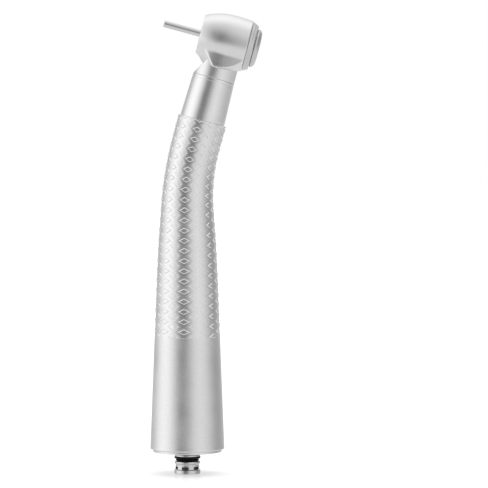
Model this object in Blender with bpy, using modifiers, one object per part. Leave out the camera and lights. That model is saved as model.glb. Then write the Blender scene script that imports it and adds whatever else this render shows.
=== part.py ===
"""A high speed dental handpiece with a push-button turbine head, as separate pieces.

The rear sleeve stands upright on +Z with the tip of its coupling stub at the origin. The grip bends by
15 degrees towards +X, and the head sits across the neck's end, its bur pointing to -X. Sizes are in
millimetres and become metres where a mesh is made. L is the distance along the bent centreline.
"""

import math

import bmesh
import bpy
from mathutils import Matrix, Vector

MM = 0.001
MERGE = 1e-6

# The bent centreline: upright, then an arc, then straight to the head.
BEND_START = 61.8
BEND_RADIUS = 59.0
BEND_ANGLE = math.radians(15.2)
BEND_END = BEND_START + BEND_RADIUS * BEND_ANGLE
HEAD_L = 102.4

# Handle, neck and rear end.
SLEEVE_LOW = 5.85
SLEEVE_LOW_R = 8.65
GRIP_TOP = 83.0
GRIP_TOP_R = 5.72
NECK_TAIL = 70.0
NECK_TOP = 93.15
SPIGOT_LOW = 90.1
SOCKET_R = 7.2
SOCKET_FLOOR = 24.5
RING_LOW = 5.2
RING_R = 8.05
LOCK_GROOVE = (11.4, 12.9, 7.5)
NECK_BORE_R = 3.9
NECK_LOW_R = 5.27
NECK_TAIL_R = 4.86
NECK_R = 4.93
SPIGOT_R = 3.8

# Manifold and coupling stub.
MANIFOLD_TOP = 31.0
STUB_TOP = 27.95
STUB_SEAT_R = 2.6
EXHAUST_PORTS = 4
WINDOWS = 6

# Lines through the handle: place in the stub, place in the neck, radii.
LIGHT_STUB = (-1.1, 0.0)
LIGHT_NECK = (-2.4, 0.0)
LIGHT_R = 0.75
DRIVE_STUB = (1.15, 0.0)
DRIVE_NECK = (0.9, -2.5)
DRIVE_PORT_R = 0.7
DRIVE_R = 0.95
SMALL_STUB_Y = 1.45
SMALL_NECK = (-1.3, 2.9)
SMALL_R = 0.3
EXHAUST_NECK = (0.6, 2.5)
EXHAUST_R = 1.1
TUBE_FIT = 0.07
ROUTE_LOW = 36.0
ROUTE_HIGH = 60.0

# Where the lines leave the neck: the light rod's last arc, and the spray tubes' last corner and mouth.
LIGHT_TURN = math.radians(58.0)
LIGHT_TURN_R = 3.0
LIGHT_TURN_L = 92.3
SPRAY_TURN_DOWN = 6.6
SPRAY_OUTLET_Y = 2.3
SPRAY_OUTLET_DOWN = 2.77

# Head. A runs along the head's axis from the neck's centreline, positive towards the push button.
FACE_A = -5.62
BOSS_A = -5.78
BOSS_R = 1.9
HEAD_R = 6.2
NOSE_ARC = 15.0
REAR_ARC = 22.0
NOSE_START_A = 1.2
BODY_REAR_A = 5.66
CREASE_DOWN = 3.1
BALL_R = 7.85
BALL_DOWN = 0.1
BALL_WIDE = 1.2
BALL_LOW = 6.9
CHIN_R = 4.15
CHIN_SLOPE = 1.05
CHIN_NARROW = 0.83
LEDGE_DOWN = 6.2
SCOOP_TOP = (-3.14, 6.3)
SCOOP_LOW = (-4.93, 9.15)
CHAMBER_R = 4.65
CHAMBER_A = (-2.3, 2.15)
SKIRT_R = 4.95
SEAT_R = 3.35
GROOVE_R = 3.82
GROOVE_HALF = 0.32
FLOOR_A = -5.12
NOSE_HOLE_R = 1.75

# Turbine.
SHAFT_R = 1.5875
SHAFT_A = (-5.45, 5.75)
CHUCK_BORE_R = 1.2
CHUCK_BORE_TOP = 4.9
RACE_IN = 1.62
RACE_IN_TOP = 1.98
RACE_OUT_LOW = 2.78
RACE_OUT = 3.175
RACE_WIDTH = 2.38
FRONT_BEARING_A = -3.66
REAR_BEARING_A = 3.5
BALLS = 7
BALL_PITCH_R = 2.38
BEARING_BALL_R = 0.48
CAGE_R = (2.09, 2.67)
CAGE_WIDTH = 1.5
RACE_GROOVE_R = 0.54
RACE_GROOVE_SPREAD = 0.8
SHIELD_SEAT_R = 2.98
SHIELD_SEAT_DEEP = 0.3
BUR_R = 0.8
BUR_A = (-14.5, 3.4)
BUTTON_R = 4.58
BUTTON_TOP_A = 8.44

STEPS_LARGE = 32
STEPS_SMALL = 20

STEEL = ("satin_steel", (0.62, 0.62, 0.61), 0.34, 1.0)
CHROME = ("polished_chrome", (0.78, 0.78, 0.79), 0.08, 1.0)
BRASS = ("plated_brass", (0.72, 0.62, 0.38), 0.3, 1.0)
RUBBER = ("black_rubber", (0.012, 0.012, 0.013), 0.5, 0.0)
GLASS = ("glass_rod", (0.85, 0.93, 0.95), 0.05, 0.0)
POLYMER = ("cage_polymer", (0.45, 0.28, 0.12), 0.5, 0.0)
HARD_STEEL = ("hardened_steel", (0.55, 0.55, 0.57), 0.18, 1.0)


def clear_scene():
    for old in list(bpy.data.objects):
        bpy.data.objects.remove(old, do_unlink=True)


def new_collection(name):
    collection = bpy.data.collections.new(name)
    bpy.context.scene.collection.children.link(collection)
    return collection


clear_scene()
PARTS = new_collection("high_speed_handpiece")
CUTTERS = new_collection("cutters")


def material(look):
    name, colour, roughness, metallic = look
    found = bpy.data.materials.get(name)
    if found:
        return found
    made = bpy.data.materials.new(name)
    made.use_nodes = True
    shader = made.node_tree.nodes["Principled BSDF"]
    shader.inputs["Base Color"].default_value = (*colour, 1.0)
    shader.inputs["Roughness"].default_value = roughness
    shader.inputs["Metallic"].default_value = metallic
    return made


def add_object(name, data, look=None, place=None):
    made = bpy.data.objects.new(name, data)
    if look:
        data.materials.append(material(look))
        PARTS.objects.link(made)
    else:
        CUTTERS.objects.link(made)
        made.hide_render = True
        made.display_type = "WIRE"
    made.matrix_world = place or Matrix.Identity(4)
    return made


def centre_frame(length):
    """The frame on the bent centreline at this length: local X leans with the bend, Z runs along it."""
    turn = min(max((length - BEND_START) / BEND_RADIUS, 0.0), BEND_ANGLE)
    x = BEND_RADIUS * (1.0 - math.cos(turn))
    z = min(length, BEND_START) + BEND_RADIUS * math.sin(turn)
    past = max(length - BEND_END, 0.0)
    x += past * math.sin(turn)
    z += past * math.cos(turn)
    return Matrix.Translation(Vector((x, 0.0, z)) * MM) @ Matrix.Rotation(turn, 4, "Y")


def on_line(length, x, y):
    """A point in metres, x and y millimetres off the centreline."""
    return centre_frame(length) @ Vector((x * MM, y * MM, 0.0))


HEAD = centre_frame(HEAD_L)
HEAD_AXIS = HEAD @ Matrix.Rotation(math.pi / 2, 4, "Y")


def settle(made):
    """Replaces an object's data by its evaluated mesh, with doubles removed."""
    bpy.context.view_layer.update()
    seen = made.evaluated_get(bpy.context.evaluated_depsgraph_get())
    mesh = bpy.data.meshes.new_from_object(seen)
    made.modifiers.clear()
    return mesh


def turned(name, profile, look=None, steps=STEPS_LARGE, place=None, ring=False):
    """A solid turned about Z. The profile runs down its outer side; a ring's profile closes on itself."""
    mesh = bpy.data.meshes.new(name)
    points = [(radius * MM, 0.0, height * MM) for radius, height in profile]
    edges = [(i, i + 1) for i in range(len(points) - 1)]
    if ring:
        edges.append((len(points) - 1, 0))
    mesh.from_pydata(points, edges, [])
    made = add_object(name, mesh, look, place)
    screw = made.modifiers.new("turn", "SCREW")
    screw.axis = "Z"
    screw.steps = steps
    screw.render_steps = steps
    screw.use_merge_vertices = True
    screw.merge_threshold = MERGE
    return made


def bend(made):
    """Moves a turned piece, upright along Z, onto the bent centreline."""
    mesh = settle(made)
    for vertex in mesh.vertices:
        length = vertex.co.z / MM
        vertex.co = centre_frame(length) @ Vector((vertex.co.x, vertex.co.y, 0.0))
    made.data = mesh
    return made


def boolean(target, tool, operation="DIFFERENCE"):
    modifier = target.modifiers.new(tool.name, "BOOLEAN")
    modifier.operation = operation
    modifier.solver = "EXACT"
    modifier.object = tool
    return target


def block(name, low, high, look=None, place=None):
    """A box between two corners, in millimetres."""
    mesh = bpy.data.meshes.new(name)
    cage = bmesh.new()
    bmesh.ops.create_cube(cage, size=1.0)
    size = Vector(high) - Vector(low)
    middle = (Vector(high) + Vector(low)) / 2
    for vertex in cage.verts:
        vertex.co = Vector([vertex.co[i] * size[i] + middle[i] for i in range(3)]) * MM
    cage.to_mesh(mesh)
    cage.free()
    return add_object(name, mesh, look, place)


def ball(name, radius, look=None, place=None, around=8, rows=5):
    mesh = bpy.data.meshes.new(name)
    cage = bmesh.new()
    bmesh.ops.create_uvsphere(cage, u_segments=around, v_segments=rows, radius=radius * MM)
    cage.to_mesh(mesh)
    cage.free()
    return add_object(name, mesh, look, place)


def rod(name, radius, low, high, look=None, place=None, sides=12):
    """A cylinder along local Z, from low to high."""
    mesh = bpy.data.meshes.new(name)
    cage = bmesh.new()
    bmesh.ops.create_cone(
        cage,
        cap_ends=True,
        segments=sides,
        radius1=radius * MM,
        radius2=radius * MM,
        depth=(high - low) * MM,
        matrix=Matrix.Translation((0.0, 0.0, (high + low) / 2 * MM)),
    )
    cage.to_mesh(mesh)
    cage.free()
    return add_object(name, mesh, look, place)


def curve_mesh(name, curve, points, closed=False):
    """The welded mesh of a curve with one run of straight pieces through points in metres."""
    spline = curve.splines.new("POLY")
    spline.points.add(len(points) - 1)
    for spot, point in zip(spline.points, points):
        spot.co = (*point, 1.0)
    spline.use_cyclic_u = closed
    guide = bpy.data.objects.new(name + "_guide", curve)
    CUTTERS.objects.link(guide)
    mesh = settle(guide)
    bpy.data.objects.remove(guide, do_unlink=True)
    cage = bmesh.new()
    cage.from_mesh(mesh)
    bmesh.ops.remove_doubles(cage, verts=cage.verts, dist=MERGE)
    cage.to_mesh(mesh)
    cage.free()
    mesh.materials.clear()
    return mesh


def wire(name, points, radius, look=None, detail=2, wall=None):
    """A rod along points in metres, or with a wall, a tube that is open at both ends."""
    curve = bpy.data.curves.new(name, "CURVE")
    curve.dimensions = "3D"
    curve.bevel_depth = radius * MM
    curve.bevel_resolution = detail
    curve.use_fill_caps = wall is None
    made = add_object(name, curve_mesh(name, curve, points), look)
    if wall:
        shell = made.modifiers.new("wall", "SOLIDIFY")
        shell.thickness = wall * MM
        shell.offset = -1.0
        shell.use_even_offset = True
    return made


def prism(name, outline, depth, place):
    """A cutter: a flat outline in millimetres, carried straight down by its depth."""
    curve = bpy.data.curves.new(name, "CURVE")
    curve.dimensions = "2D"
    curve.fill_mode = "BOTH"
    curve.extrude = depth / 2 * MM
    points = [(x * MM, y * MM, 0.0) for x, y in outline]
    mesh = curve_mesh(name, curve, points, closed=True)
    return add_object(name, mesh, None, place @ Matrix.Translation((0.0, 0.0, -depth / 2 * MM)))


def arc(centre, radius, start, end, count):
    """Points on an arc, with angles in radians from +X."""
    steps = [start + (end - start) * i / count for i in range(count + 1)]
    return [(centre[0] + radius * math.cos(t), centre[1] + radius * math.sin(t)) for t in steps]


def with_bend_rings(profile, spacing=2.7):
    """Splits the long runs of a profile inside the bend, so that it follows the arc."""
    made = [profile[0]]
    for (r0, z0), (r1, z1) in zip(profile, profile[1:]):
        inside = min(max(z0, z1), BEND_END) - max(min(z0, z1), BEND_START)
        count = max(1, math.ceil(inside / spacing))
        made += [(r0 + (r1 - r0) * i / count, z0 + (z1 - z0) * i / count) for i in range(1, count)]
        made.append((r1, z1))
    return made


def smooth(t):
    t = min(max(t, 0.0), 1.0)
    return t * t * (3.0 - 2.0 * t)


def route(stub, neck, low, high, spacing=4.0):
    """Points of a line through the handle: straight in the manifold, then over to its place in the neck."""
    count = math.ceil((high - low) / spacing)
    points = []
    for i in range(count + 1):
        length = low + (high - low) * i / count
        share = smooth((length - ROUTE_LOW) / (ROUTE_HIGH - ROUTE_LOW))
        x = stub[0] + (neck[0] - stub[0]) * share
        y = stub[1] + (neck[1] - stub[1]) * share
        points.append(on_line(length, x, y))
    return points


def in_head(a, y, down):
    """A point in metres from the head's centre: along its axis, sideways, and down the neck."""
    return HEAD @ Vector((a * MM, y * MM, -down * MM))


def drill(target, name, radius, low, high, place, sides=12):
    boolean(target, rod(name, radius, low, high, None, place, sides))


def light_path(low, extra):
    points = route(LIGHT_STUB, LIGHT_NECK, low, LIGHT_TURN_L)
    for i in range(1, 5):
        turn = LIGHT_TURN * i / 4
        x = LIGHT_NECK[0] - LIGHT_TURN_R * (1.0 - math.cos(turn))
        points.append(on_line(LIGHT_TURN_L + LIGHT_TURN_R * math.sin(turn), x, 0.0))
    leave = HEAD.to_3x3() @ Vector((-math.sin(LIGHT_TURN), 0.0, math.cos(LIGHT_TURN)))
    points[-1] = points[-1] + leave * extra * MM
    return points


def spray_path(side, low, extra):
    turn_at = (SMALL_NECK[0], side * SMALL_NECK[1], SPRAY_TURN_DOWN)
    points = route((0.0, side * SMALL_STUB_Y), (SMALL_NECK[0], side * SMALL_NECK[1]),
                   low, HEAD_L - SPRAY_TURN_DOWN - 0.5)
    corner = in_head(*turn_at)
    outlet = in_head(FACE_A, side * SPRAY_OUTLET_Y, SPRAY_OUTLET_DOWN)
    leave = (outlet - corner).normalized()
    points.append(corner + leave * 0.2 * MM)
    points.append(corner + leave * 0.9 * MM)
    points.append(outlet + leave * extra * MM)
    return points


def handle_sleeve():
    low, high, groove_r = LOCK_GROOVE
    outline = [
        (4.95, GRIP_TOP), (GRIP_TOP_R - 0.05, GRIP_TOP), (GRIP_TOP_R, GRIP_TOP - 0.1), (GRIP_TOP_R, 71.6),
        (5.8, 68.8), (6.01, 64.6), (6.37, 59.0), (6.69, 54.7), (6.99, 48.9), (7.64, 32.2),
        (SLEEVE_LOW_R, SLEEVE_LOW),
        (7.78, SLEEVE_LOW), (7.78, 7.8), (SOCKET_R, 7.8),
        (SOCKET_R, low), (groove_r, low), (groove_r, high), (SOCKET_R, high),
        (SOCKET_R, 25.4), (6.58, 25.4), (6.58, 32.0), (5.75, 54.7), (5.1, 64.6), (4.95, NECK_TAIL - 1.0),
    ]
    bend(turned("handle_sleeve", with_bend_rings(outline + outline[:1])[:-1], STEEL, ring=True))


def end_ring():
    turned("end_ring", [
        (7.25, 7.7), (7.72, 7.7), (7.72, 5.82), (7.9, 5.82), (RING_R, 5.7), (RING_R, 5.3), (7.95, RING_LOW),
        (7.35, RING_LOW), (7.25, 5.3),
    ], STEEL, ring=True)


def neck_sleeve():
    outline = [
        (NECK_BORE_R, NECK_TOP), (NECK_R - 0.1, NECK_TOP), (NECK_R, NECK_TOP - 0.1),
        (NECK_LOW_R, GRIP_TOP + 0.05), (NECK_TAIL_R, GRIP_TOP + 0.05), (NECK_TAIL_R, NECK_TAIL),
        (NECK_BORE_R, NECK_TAIL),
    ]
    bend(turned("neck_sleeve", with_bend_rings(outline + outline[:1])[:-1], STEEL, ring=True))


def joint_body():
    made = turned("joint_body", [
        (0.0, MANIFOLD_TOP), (6.3, MANIFOLD_TOP), (6.5, MANIFOLD_TOP - 0.2), (6.5, 25.3), (7.12, 25.3),
        (7.12, SOCKET_FLOOR), (2.66, SOCKET_FLOOR), (2.66, STUB_TOP + 0.1), (0.0, STUB_TOP + 0.1),
    ], BRASS)
    passages = [(LIGHT_STUB, LIGHT_R), (DRIVE_STUB, DRIVE_R),
                ((0.0, SMALL_STUB_Y), SMALL_R), ((0.0, -SMALL_STUB_Y), SMALL_R)]
    for number, ((x, y), radius) in enumerate(passages):
        place = Matrix.Translation(Vector((x, y, 0.0)) * MM)
        drill(made, f"manifold_line_{number}", radius + TUBE_FIT, 27.0, 32.0, place, 8)
    for number in range(EXHAUST_PORTS):
        place = Matrix.Rotation(math.pi / 4 + number * math.tau / EXHAUST_PORTS, 4, "Z")
        place = place @ Matrix.Translation((4.7 * MM, 0.0, 0.0))
        drill(made, f"exhaust_port_{number}", 1.1, 23.0, 32.0, place, 10)


def coupling_stub():
    made = turned("coupling_stub", [
        (0.0, STUB_TOP), (STUB_SEAT_R, STUB_TOP), (STUB_SEAT_R, SOCKET_FLOOR - 0.05),
        (3.1, SOCKET_FLOOR - 0.05), (3.1, 5.3), (2.8, 5.1), (2.8, 4.62), (2.97, 4.5), (2.97, 4.16),
        (2.44, 4.16), (2.44, 3.58), (2.1, 3.58), (2.1, 3.0), (3.0, 2.96), (3.0, 2.5), (2.77, 2.3),
        (2.77, 1.1), (3.06, 1.0), (3.06, 0.08), (2.98, 0.0), (0.0, 0.0),
    ], CHROME)
    passages = [(LIGHT_STUB, LIGHT_R), (DRIVE_STUB, DRIVE_PORT_R),
                ((0.0, SMALL_STUB_Y), SMALL_R), ((0.0, -SMALL_STUB_Y), SMALL_R)]
    for number, ((x, y), radius) in enumerate(passages):
        place = Matrix.Translation(Vector((x, y, 0.0)) * MM)
        drill(made, f"stub_line_{number}", radius + TUBE_FIT, -1.0, 29.0, place, 8)
    for number in range(WINDOWS):
        place = Matrix.Rotation(math.radians(-100.0) + number * math.tau / WINDOWS, 4, "Z")
        boolean(made, block(f"stub_window_{number}", (2.35, -0.8, 1.15), (3.5, 0.8, 1.75), None, place))


def oring(name, ring_r, cord_r, height, place=None):
    profile = [(ring_r + x, height + y) for x, y in arc((0.0, 0.0), cord_r, math.pi / 2, -math.pi * 1.5, 8)]
    turned(name, profile[:-1], RUBBER, 24, place, ring=True)


def nose_radius(a):
    """Radius of the head's turned body: a barrel, drawn in more towards its face than towards its cap."""
    radius = NOSE_ARC if a < NOSE_START_A else REAR_ARC
    return HEAD_R - radius + math.sqrt(radius ** 2 - (NOSE_START_A - a) ** 2)


def lobe_outline(steps=8):
    """The lobe's width along the head's axis: its sides leave the turned body at the crease."""
    places = [BODY_REAR_A - 0.01, (BODY_REAR_A + NOSE_START_A) / 2]
    places += [NOSE_START_A + (FACE_A - NOSE_START_A) * i / steps for i in range(steps + 1)]
    half = [(a, math.sqrt(nose_radius(a) ** 2 - CREASE_DOWN ** 2)) for a in places]
    return half + [(a, -y) for a, y in reversed(half)]


def head_housing():
    places = [BODY_REAR_A + (FACE_A - BODY_REAR_A) * i / 10 for i in range(11)]
    made = turned("head_housing", [
        (0.0, BODY_REAR_A), *[(nose_radius(a), a) for a in places],
        (BOSS_R, FACE_A), (BOSS_R, BOSS_A), (0.0, BOSS_A),
    ], STEEL, place=HEAD_AXIS)

    lobe = prism("lobe", lobe_outline(), BALL_LOW, HEAD)
    place = HEAD @ Matrix.Translation((0.0, 0.0, -BALL_DOWN * MM))
    place = place @ Matrix.Diagonal((1.0, BALL_WIDE, 1.0, 1.0))
    boolean(lobe, ball("lobe_ball", BALL_R, None, place, 32, 24), "INTERSECT")
    chin_top = CHIN_R + CHIN_SLOPE * (6.0 - FACE_A)
    chin = turned("chin", [(0.0, 6.0), (chin_top, 6.0), (CHIN_R, FACE_A), (0.0, FACE_A)],
                  None, 48, HEAD_AXIS @ Matrix.Diagonal((1.0, CHIN_NARROW, 1.0, 1.0)))
    boolean(lobe, chin, "INTERSECT")
    boolean(made, lobe, "UNION")

    stem = turned("stem", [
        (0.0, HEAD_L - LEDGE_DOWN), (NECK_R, HEAD_L - LEDGE_DOWN), (NECK_R, NECK_TOP + 0.1),
        (NECK_R - 0.1, NECK_TOP + 0.03), (SPIGOT_R, NECK_TOP + 0.03), (SPIGOT_R, SPIGOT_LOW),
        (0.0, SPIGOT_LOW),
    ], None, place=HEAD @ Matrix.Translation((0.0, 0.0, -HEAD_L * MM)))
    run = Vector((SCOOP_LOW[0] - SCOOP_TOP[0], 0.0, SCOOP_TOP[1] - SCOOP_LOW[1]))
    tilt = math.atan2(-run.x, -run.z)
    scoop_place = HEAD @ Matrix.Translation(Vector((SCOOP_TOP[0], 0.0, -SCOOP_TOP[1])) * MM)
    scoop_place = scoop_place @ Matrix.Rotation(tilt, 4, "Y")
    boolean(stem, block("scoop", (-6.0, -8.0, -run.length - 2.0), (0.0, 8.0, 2.0), None, scoop_place))
    boolean(made, stem, "UNION")

    front, rear = CHAMBER_A
    bore = turned("turbine_bore", [
        (0.0, 7.0), (SKIRT_R + 0.05, 7.0), (SKIRT_R + 0.05, rear), (CHAMBER_R, rear),
        (CHAMBER_R, front), (SEAT_R, front), (SEAT_R, FRONT_BEARING_A + GROOVE_HALF),
        (GROOVE_R, FRONT_BEARING_A + GROOVE_HALF), (GROOVE_R, FRONT_BEARING_A - GROOVE_HALF),
        (SEAT_R, FRONT_BEARING_A - GROOVE_HALF), (SEAT_R, FLOOR_A), (NOSE_HOLE_R, FLOOR_A),
        (NOSE_HOLE_R, -7.0), (0.0, -7.0),
    ], None, place=HEAD_AXIS)
    boolean(made, bore)

    bores = [("drive_bore", DRIVE_NECK, DRIVE_R + TUBE_FIT), ("exhaust_bore", EXHAUST_NECK, EXHAUST_R)]
    for name, (x, y), radius in bores:
        drill(made, name, radius, -14.0, -3.0, HEAD @ Matrix.Translation((x * MM, y * MM, 0.0)), 10)
    low = SPIGOT_LOW - 1.0
    boolean(made, wire("light_bore", light_path(low, 1.5), LIGHT_R + TUBE_FIT, None, 2))
    for side, name in ((1, "water_bore"), (-1, "chip_air_bore")):
        boolean(made, wire(name, spray_path(side, low, 1.0), SMALL_R + TUBE_FIT, None, 1))


def lines():
    """The light rod, and the tubes for drive air, water and chip air, inside the handle."""
    low = STUB_TOP + 0.2
    wire("light_guide", light_path(0.05, 0.0), LIGHT_R, GLASS, 2)
    wire("drive_air_tube", route(DRIVE_STUB, DRIVE_NECK, low, HEAD_L - 4.5), DRIVE_R, STEEL, 2, 0.2)
    wire("water_tube", spray_path(1, low, -0.3), SMALL_R, STEEL, 1, 0.1)
    wire("chip_air_tube", spray_path(-1, low, -0.3), SMALL_R, STEEL, 1, 0.1)


def head_cap():
    half = GROOVE_HALF
    turned("head_cap", [
        (4.66, 7.19), (4.95, 7.19), (5.28, 7.0), (5.42, 6.75), (5.72, BODY_REAR_A + 0.03),
        (SKIRT_R - 0.02, BODY_REAR_A + 0.03), (SKIRT_R - 0.02, 2.2), (SEAT_R, 2.2),
        (SEAT_R, REAR_BEARING_A - half), (GROOVE_R, REAR_BEARING_A - half), (GROOVE_R, REAR_BEARING_A + half),
        (SEAT_R, REAR_BEARING_A + half), (SEAT_R, 4.8), (1.8, 4.8), (1.8, 5.2), (4.3, 5.2), (4.3, 5.5),
        (4.92, 5.5), (4.92, 6.72), (4.66, 6.72),
    ], STEEL, place=HEAD_AXIS, ring=True)


def push_button():
    turned("push_button", [
        (0.0, BUTTON_TOP_A), (2.4, BUTTON_TOP_A - 0.05), (4.0, BUTTON_TOP_A - 0.19),
        (BUTTON_R, BUTTON_TOP_A - 0.64), (BUTTON_R, 6.64), (4.85, 6.64), (4.85, 6.3),
        (3.9, 6.3), (3.9, 7.4), (1.3, 7.4), (1.3, 6.3), (0.0, 6.3),
    ], STEEL, place=HEAD_AXIS)


def coil(name, ring_r, wire_r, low, high, turns, per_turn=10):
    count = int(turns * per_turn)
    points = []
    for i in range(count + 1):
        turn = math.tau * i / per_turn
        height = low + wire_r + (high - low - 2 * wire_r) * i / count
        points.append(HEAD_AXIS @ (Vector((ring_r * math.cos(turn), ring_r * math.sin(turn), height)) * MM))
    wire(name, points, wire_r, HARD_STEEL, 1)


def bearing(side, middle, outward):
    """One bearing: races with rolling grooves, balls in a cage, and a shield on its outward side."""
    half = RACE_WIDTH / 2
    around = RACE_GROOVE_SPREAD
    inner = arc((BALL_PITCH_R, middle), RACE_GROOVE_R, math.pi - around, math.pi + around, 4)
    outer = arc((BALL_PITCH_R, middle), RACE_GROOVE_R, -around, around, 4)
    inner = [(min(r, RACE_IN_TOP), z) for r, z in inner]
    outer = [(max(r, RACE_OUT_LOW), z) for r, z in outer]
    turned(f"{side}_bearing_inner_race", [
        (RACE_IN, middle + half), (RACE_IN_TOP, middle + half), *inner,
        (RACE_IN_TOP, middle - half), (RACE_IN, middle - half),
    ], HARD_STEEL, STEPS_SMALL, HEAD_AXIS, ring=True)
    seat_r = SHIELD_SEAT_R
    edge = middle + outward * half
    rest = edge - outward * SHIELD_SEAT_DEEP
    plain = middle - outward * half
    walls = [(RACE_OUT_LOW, plain), *(outer if outward > 0 else outer[::-1]),
             (RACE_OUT_LOW, rest), (seat_r, rest), (seat_r, edge), (RACE_OUT, edge), (RACE_OUT, plain)]
    turned(f"{side}_bearing_outer_race", walls if outward > 0 else walls[::-1],
           HARD_STEEL, STEPS_SMALL, HEAD_AXIS, ring=True)
    low, high = sorted((rest + outward * 0.05, rest + outward * 0.17))
    turned(f"{side}_bearing_shield", [(2.08, high), (2.9, high), (2.9, low), (2.08, low)],
           STEEL, STEPS_SMALL, HEAD_AXIS, ring=True)
    wide = CAGE_WIDTH / 2
    cage = turned(f"{side}_bearing_cage", [
        (CAGE_R[0], middle + wide), (CAGE_R[1], middle + wide), (CAGE_R[1], middle - wide),
        (CAGE_R[0], middle - wide),
    ], POLYMER, STEPS_SMALL + 1, HEAD_AXIS, ring=True)
    for number in range(BALLS):
        turn = Matrix.Rotation(number * math.tau / BALLS, 4, "Z")
        spot = HEAD_AXIS @ Matrix.Translation((0.0, 0.0, middle * MM)) @ turn
        pocket = spot @ Matrix.Rotation(math.pi / 2, 4, "Y")
        drill(cage, f"{side}_pocket_{number + 1}", 0.56, 1.5, 3.2, pocket, 8)
        centre = spot @ Matrix.Translation((BALL_PITCH_R * MM, 0.0, 0.0))
        ball(f"{side}_ball_{number + 1}", BEARING_BALL_R, HARD_STEEL, centre)


def spindle():
    low, high = SHAFT_A
    turned("spindle", [
        (0.62, high), (SHAFT_R - 0.1, high), (SHAFT_R, high - 0.1), (SHAFT_R, low), (CHUCK_BORE_R, low),
        (CHUCK_BORE_R, CHUCK_BORE_TOP), (0.62, CHUCK_BORE_TOP),
    ], HARD_STEEL, STEPS_SMALL, HEAD_AXIS, ring=True)


def impeller():
    made = turned("impeller", [(RACE_IN, 1.55), (4.3, 1.55), (4.3, -1.75), (RACE_IN, -1.75)],
                  HARD_STEEL, STEPS_LARGE, HEAD_AXIS, ring=True)
    buckets = 8
    for number in range(buckets):
        turn = Matrix.Rotation(number * math.tau / buckets, 4, "Z")
        place = HEAD_AXIS @ turn @ Matrix.Translation((3.75 * MM, 0.0, 0.0))
        drill(made, f"bucket_{number}", 1.15, -3.0, 3.0, place, 12)


def chuck_collet():
    made = turned("chuck_collet", [(0.85, 3.7), (1.14, 3.7), (1.14, -5.35), (0.85, -5.35)],
                  HARD_STEEL, STEPS_SMALL, HEAD_AXIS, ring=True)
    for number in range(3):
        turn = Matrix.Rotation(math.radians(30.0) + number * math.tau / 3, 4, "Z")
        boolean(made, block(f"collet_slot_{number}", (0.4, -0.11, -7.0), (1.6, 0.11, -0.6), None,
                            HEAD_AXIS @ turn))


def release_pin():
    turned("release_pin", [
        (0.0, 6.2), (0.5, 6.2), (0.56, 6.12), (0.56, 4.84), (1.12, 4.84), (1.12, 4.45), (0.72, 4.45),
        (0.4, 4.1), (0.0, 4.1),
    ], HARD_STEEL, STEPS_SMALL, HEAD_AXIS)


def spring_washer():
    """A wave washer that loads the front bearing: a thin ring with three waves."""
    made = turned("spring_washer", [(3.1, -4.96), (3.1, -5.01), (2.3, -5.01), (2.3, -4.96)],
                  HARD_STEEL, 24, HEAD_AXIS, ring=True)
    mesh = settle(made)
    for vertex in mesh.vertices:
        vertex.co.z += 0.07 * MM * math.sin(3.0 * math.atan2(vertex.co.y, vertex.co.x))
    made.data = mesh


def bur():
    low, high = BUR_A
    turned("bur", [
        (0.0, high), (0.7, high), (BUR_R, high - 0.12), (BUR_R, low + 0.12), (0.7, low), (0.0, low),
    ], HARD_STEEL, STEPS_SMALL, HEAD_AXIS)


def shade():
    for part in PARTS.objects:
        part.data.shade_smooth()
        part.data.set_sharp_from_angle(angle=math.radians(35.0))


handle_sleeve()
end_ring()
neck_sleeve()
joint_body()
coupling_stub()
oring("stub_oring_upper", 2.79, 0.28, 3.87)
oring("stub_oring_lower", 2.44, 0.26, 3.29)
head_housing()
lines()
oring("front_damping_oring", 3.5, 0.28, FRONT_BEARING_A, HEAD_AXIS)
oring("rear_damping_oring", 3.5, 0.28, REAR_BEARING_A, HEAD_AXIS)
spring_washer()
bearing("front", FRONT_BEARING_A, -1)
bearing("rear", REAR_BEARING_A, 1)
spindle()
impeller()
chuck_collet()
coil("chuck_spring", 0.98, 0.08, 3.78, 4.4, 2)
release_pin()
head_cap()
push_button()
coil("button_spring", 2.6, 0.2, 5.25, 7.35, 2.5)
bur()
shade()
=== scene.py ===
import math

import bmesh
import bpy
import numpy as np
from mathutils import Matrix, Vector


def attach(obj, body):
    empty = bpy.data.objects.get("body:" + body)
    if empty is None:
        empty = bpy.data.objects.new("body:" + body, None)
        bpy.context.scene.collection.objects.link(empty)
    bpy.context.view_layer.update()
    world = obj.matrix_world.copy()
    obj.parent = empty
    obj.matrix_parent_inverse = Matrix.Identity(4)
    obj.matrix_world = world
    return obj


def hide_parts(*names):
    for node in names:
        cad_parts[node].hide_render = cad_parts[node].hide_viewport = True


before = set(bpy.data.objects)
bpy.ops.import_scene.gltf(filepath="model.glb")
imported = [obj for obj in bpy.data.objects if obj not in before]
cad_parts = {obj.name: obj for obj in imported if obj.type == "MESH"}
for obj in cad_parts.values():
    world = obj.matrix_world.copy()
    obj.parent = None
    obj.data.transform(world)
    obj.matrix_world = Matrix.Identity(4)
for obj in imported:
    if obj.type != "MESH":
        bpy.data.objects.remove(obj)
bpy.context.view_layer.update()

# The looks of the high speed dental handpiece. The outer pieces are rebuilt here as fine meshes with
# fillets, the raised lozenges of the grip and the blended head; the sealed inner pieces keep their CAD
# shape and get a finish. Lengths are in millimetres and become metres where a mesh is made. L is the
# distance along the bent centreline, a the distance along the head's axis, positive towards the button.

MM = 0.001

# The bent centreline, as in the CAD.
BEND_START = 61.8
BEND_RADIUS = 59.0
BEND_ANGLE = math.radians(15.2)
BEND_END = BEND_START + BEND_RADIUS * BEND_ANGLE
HEAD_L = 102.4

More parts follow.
